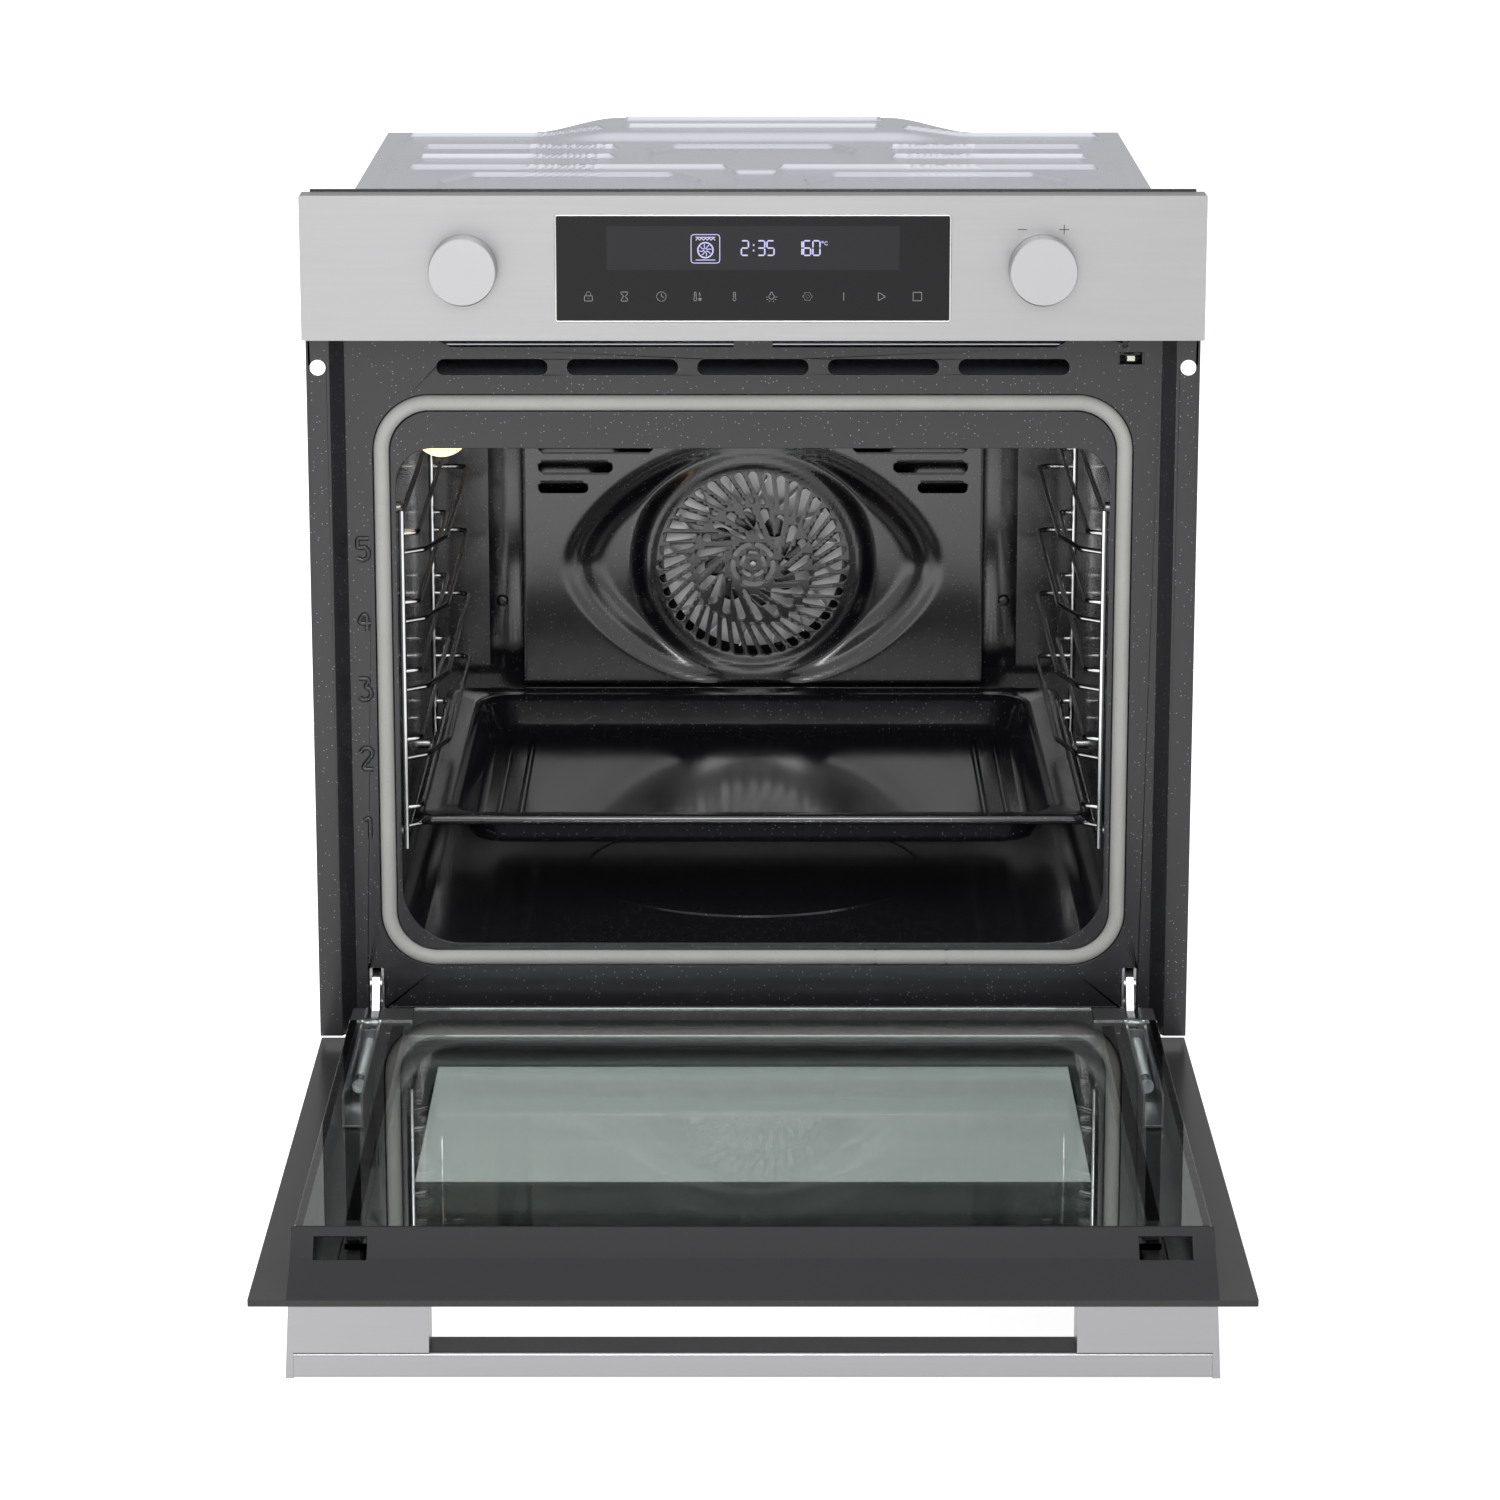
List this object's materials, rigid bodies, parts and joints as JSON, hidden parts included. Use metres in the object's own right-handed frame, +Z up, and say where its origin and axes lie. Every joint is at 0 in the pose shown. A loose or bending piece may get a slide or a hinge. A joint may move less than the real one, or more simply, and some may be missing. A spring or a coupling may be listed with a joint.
{
  "type": "built-in wall oven",
  "caption": "Built-in electric wall oven with a drop-down glass door, chromed side racks, a fan-assisted enamelled cavity, a baking tray and a steel control panel.",
  "frame": {"origin": "centre of the case's base face, on the shelf of the niche", "axes": "+X to the viewer's right across the front, +Y into the niche, +Z up; the door is open, level"},
  "size_m": [0.595, 1.026, 0.6395],
  "materials": {
    "galvanised": "galvanised sheet, satin",
    "grey_enamel": "satin speckled enamel",
    "stainless": "brushed along X",
    "dark_glass": "gloss",
    "black_plastic": "moulded, matt",
    "board": "circuit board",
    "black_enamel": "glossy speckled enamel",
    "element_steel": "oxidised stainless",
    "zinc_steel": "zinc plated",
    "lamp_glass": "clear, gloss",
    "chrome_wire": "polished",
    "glass_fibre": "braided glass fibre",
    "mineral_wool": "wool blanket",
    "motor_steel": "laminated steel",
    "light_plastic": "moulded, matt",
    "knob_aluminium": "fine satin",
    "fan_steel": "satin",
    "printed_glass": "gloss, dark printed border",
    "clear_glass": "clear, gloss",
    "charcoal_plastic": "moulded, fine texture",
    "black_rubber": "matt",
    "satin_aluminium": "satin anodised"
  },
  "bodies": {
    "chassis": {"base_plate": "galvanised", "side_panel_left": "galvanised", "side_panel_right": "galvanised", "top_cover": "galvanised", "rear_panel": "galvanised", "front_frame": "grey_enamel", "control_panel": "stainless", "display_glass": "dark_glass", "display_module": "black_plastic", "control_board": "board", "cavity_liner": "black_enamel", "fan_cover": "black_enamel", "ring_element": "element_steel", "grill_element": "element_steel", "bottom_element": "element_steel", "lamp_housing": "zinc_steel", "lamp_lens": "lamp_glass", "lamp_bulb": "lamp_glass", "rack_left": "chrome_wire", "rack_right": "chrome_wire", "rack_studs": "zinc_steel", "door_gasket": "glass_fibre", "insulation": "mineral_wool", "fan_motor": "motor_steel", "blower_housing": "galvanised", "blower_motor": "motor_steel", "air_duct": "galvanised", "terminal_block": "light_plastic", "cable_gland": "black_plastic", "temperature_probe": "zinc_steel", "door_switch": "black_plastic", "case_screws": "zinc_steel", "hinge_receivers": "zinc_steel", "hinge_arms": "zinc_steel"},
    "left_knob": {"knob_left": "knob_aluminium"},
    "right_knob": {"knob_right": "knob_aluminium"},
    "convection_fan": {"fan_wheel": "fan_steel", "fan_shaft": "zinc_steel", "fan_nut": "zinc_steel"},
    "cooling_rotor": {"blower_rotor": "black_plastic"},
    "lever": {"switch_lever": "light_plastic"},
    "left_catch": {"hinge_catch_left": "chrome_wire"},
    "right_catch": {"hinge_catch_right": "chrome_wire"},
    "baking_tray": {"tray": "black_enamel"},
    "door": {"door_outer_glass": "printed_glass", "door_middle_glass": "clear_glass", "door_inner_glass": "clear_glass", "door_rail_left": "grey_enamel", "door_rail_right": "grey_enamel", "door_top_cover": "charcoal_plastic", "door_bottom_profile": "grey_enamel", "door_corner_clips": "black_plastic", "door_seals": "black_rubber", "handle_bar": "satin_aluminium", "handle_brackets": "satin_aluminium", "handle_screws": "zinc_steel", "hinge_cases": "zinc_steel", "hinge_pins": "zinc_steel", "hinge_springs": "zinc_steel"},
    "spring_rods": {"hinge_rods": "zinc_steel"}
  },
  "joints": [
    {"name": "door_hinge", "type": "hinge", "parent": "chassis", "child": "door", "pos_m": [0, -0.2655, 0.0145], "axis": [-1, 0, 0], "range_deg": [0, 90]},
    {"name": "spring_rod_slide", "type": "slide", "parent": "door", "child": "spring_rods", "axis": [0, -1, 0], "range_m": [0, 0.0158]},
    {"name": "tray_slide", "type": "slide", "parent": "chassis", "child": "baking_tray", "axis": [0, 1, 0], "range_m": [-0.3, 0]},
    {"name": "left_knob_turn", "type": "hinge", "parent": "chassis", "child": "left_knob", "pos_m": [-0.19, -0.301, 0.542], "axis": [0, -1, 0], "continuous": true},
    {"name": "right_knob_turn", "type": "hinge", "parent": "chassis", "child": "right_knob", "pos_m": [0.19, -0.301, 0.542], "axis": [0, -1, 0], "continuous": true},
    {"name": "convection_fan_spin", "type": "hinge", "parent": "chassis", "child": "convection_fan", "pos_m": [0, 0.217, 0.238], "axis": [0, -1, 0], "continuous": true},
    {"name": "cooling_rotor_spin", "type": "hinge", "parent": "chassis", "child": "cooling_rotor", "pos_m": [0, 0.113, 0.49], "axis": [0, 0, 1], "continuous": true},
    {"name": "switch_lever_press", "type": "hinge", "parent": "chassis", "child": "lever", "pos_m": [0.2525, -0.223, 0.4753], "axis": [1, 0, 0], "range_deg": [-6, 0], "stiffness_Nm_per_rad": 0.01, "springref_deg": 11.46},
    {"name": "left_catch_flip", "type": "hinge", "parent": "chassis", "child": "left_catch", "pos_m": [-0.259, -0.247, 0.04], "axis": [1, 0, 0], "range_deg": [-110, 0]},
    {"name": "right_catch_flip", "type": "hinge", "parent": "chassis", "child": "right_catch", "pos_m": [0.259, -0.247, 0.04], "axis": [1, 0, 0], "range_deg": [-110, 0]}
  ],
  "couplings": [
    {"joint": "spring_rod_slide", "follows": "door_hinge", "m_per_rad": 0.01}
  ]
}
